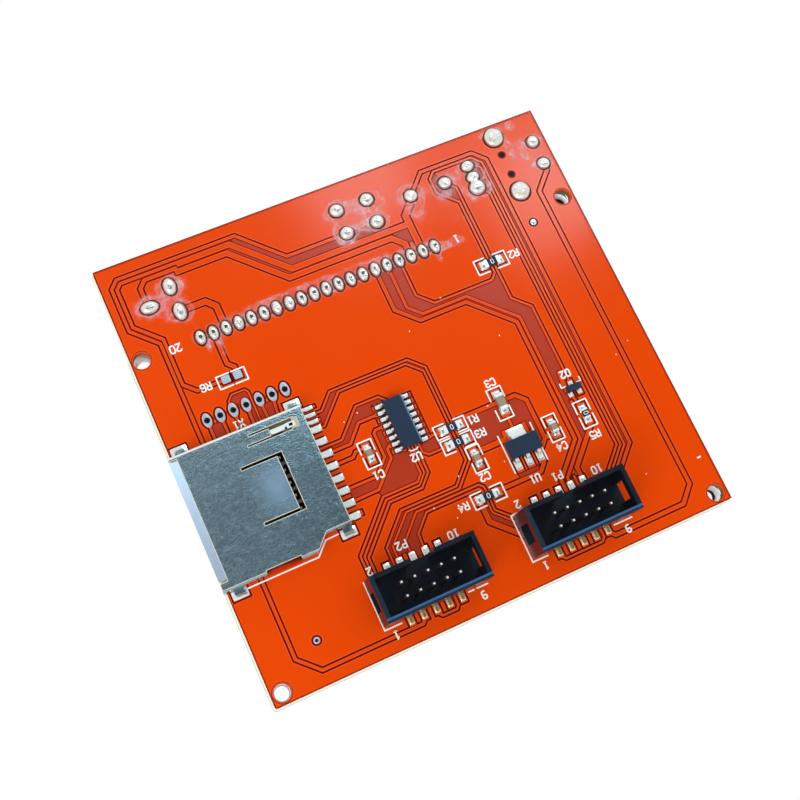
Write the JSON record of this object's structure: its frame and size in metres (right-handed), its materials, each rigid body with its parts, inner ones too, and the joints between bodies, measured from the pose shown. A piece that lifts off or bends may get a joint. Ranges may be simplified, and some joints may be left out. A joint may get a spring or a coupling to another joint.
{
  "type": "graphic display module",
  "caption": "Flat dot-matrix display on an orange controller board with card socket, shrouded ribbon headers, push-and-turn knob shaft, reset button, buzzer and contrast trimmer.",
  "frame": {"origin": "centre of the four corner holes on the rear face of the controller board", "axes": "+Z out of the controller board's rear face, away from the display; +X along the boards' long side; +Y from the ribbon headers towards the encoder end"},
  "size_m": [0.0932, 0.087, 0.0321],
  "materials": {
    "orange_mask": "glossy",
    "foil": "glossy mask over copper",
    "solder": "bright tin",
    "black_plastic": "satin black",
    "pin_metal": "tinned",
    "display_laminate": "glossy mask",
    "bezel_black": "black",
    "steel": "satin",
    "zinc": "cast",
    "shaft_metal": "turned",
    "glass_clear": "clear",
    "polarizer_film": "film",
    "white_plastic": "diffusing",
    "beige_plastic": "moulded",
    "rubber_strip": "elastomer",
    "blob_epoxy": "epoxy",
    "chip_black": "moulded",
    "ceramic_tan": "ceramic",
    "blue_plastic": "moulded",
    "copper_plate": "sheet"
  },
  "bodies": {
    "root": {"controller_board": "orange_mask", "rear_copper": "foil", "header_joints": "solder", "display_joints": "solder", "encoder_joints": "solder", "buzzer_joints": "solder", "button_joints": "solder", "trimmer_joints": "solder", "header_insulator": "black_plastic", "header_pins": "pin_metal", "display_board": "display_laminate", "display_rings": "solder", "display_bezel": "bezel_black", "polarizer": "polarizer_film", "front_glass": "glass_clear", "rear_glass": "glass_clear", "zebra_strips": "rubber_strip", "backlight_guide": "white_plastic", "chip_blobs": "blob_epoxy", "encoder_housing": "black_plastic", "encoder_bracket": "steel", "encoder_bushing": "zinc", "encoder_terminals": "pin_metal", "encoder_dome": "copper_plate", "buzzer_case": "black_plastic", "buzzer_diaphragm": "copper_plate", "buzzer_base": "black_plastic", "buzzer_pins": "pin_metal", "button_base": "black_plastic", "button_cover": "steel", "button_dome": "copper_plate", "button_terminals": "pin_metal", "trimmer_base": "blue_plastic", "trimmer_terminals": "pin_metal", "socket_shell": "steel", "socket_base": "beige_plastic", "socket_contacts": "pin_metal", "expansion_one_shroud": "black_plastic", "expansion_two_shroud": "black_plastic", "expansion_one_pins": "pin_metal", "expansion_two_pins": "pin_metal", "shifter_body": "chip_black", "shifter_leads": "pin_metal", "regulator_body": "chip_black", "regulator_leads": "pin_metal", "transistor_body": "chip_black", "transistor_leads": "pin_metal", "resistor_one": "chip_black", "resistor_two": "chip_black", "resistor_three": "chip_black", "resistor_four": "chip_black", "resistor_five": "chip_black", "capacitor_one": "ceramic_tan", "capacitor_two": "ceramic_tan", "capacitor_three": "ceramic_tan", "capacitor_four": "ceramic_tan"},
    "encoder_rotor": {"encoder_rotor": "white_plastic"},
    "encoder_shaft": {"encoder_shaft": "shaft_metal"},
    "button_plunger": {"button_plunger": "black_plastic"},
    "trimmer_dial": {"trimmer_dial": "white_plastic"}
  },
  "joints": [
    {"name": "encoder_turn", "type": "hinge", "parent": "root", "child": "encoder_rotor", "pos_m": [0.0366, 0.0429, -0.006], "axis": [0, 0, 1], "continuous": true},
    {"name": "encoder_push", "type": "slide", "parent": "encoder_rotor", "child": "encoder_shaft", "axis": [0, 0, 1], "range_m": [0, 0.0005], "stiffness_N_per_m": 6000, "springref_m": -0.0002},
    {"name": "button_press", "type": "slide", "parent": "root", "child": "button_plunger", "axis": [0, 0, 1], "range_m": [0, 0.00025], "stiffness_N_per_m": 4000, "springref_m": -0.0001},
    {"name": "contrast_turn", "type": "hinge", "parent": "root", "child": "trimmer_dial", "pos_m": [-0.0363, 0.04135, -0.0032], "axis": [0, 0, 1], "range_deg": [-105, 105]}
  ]
}
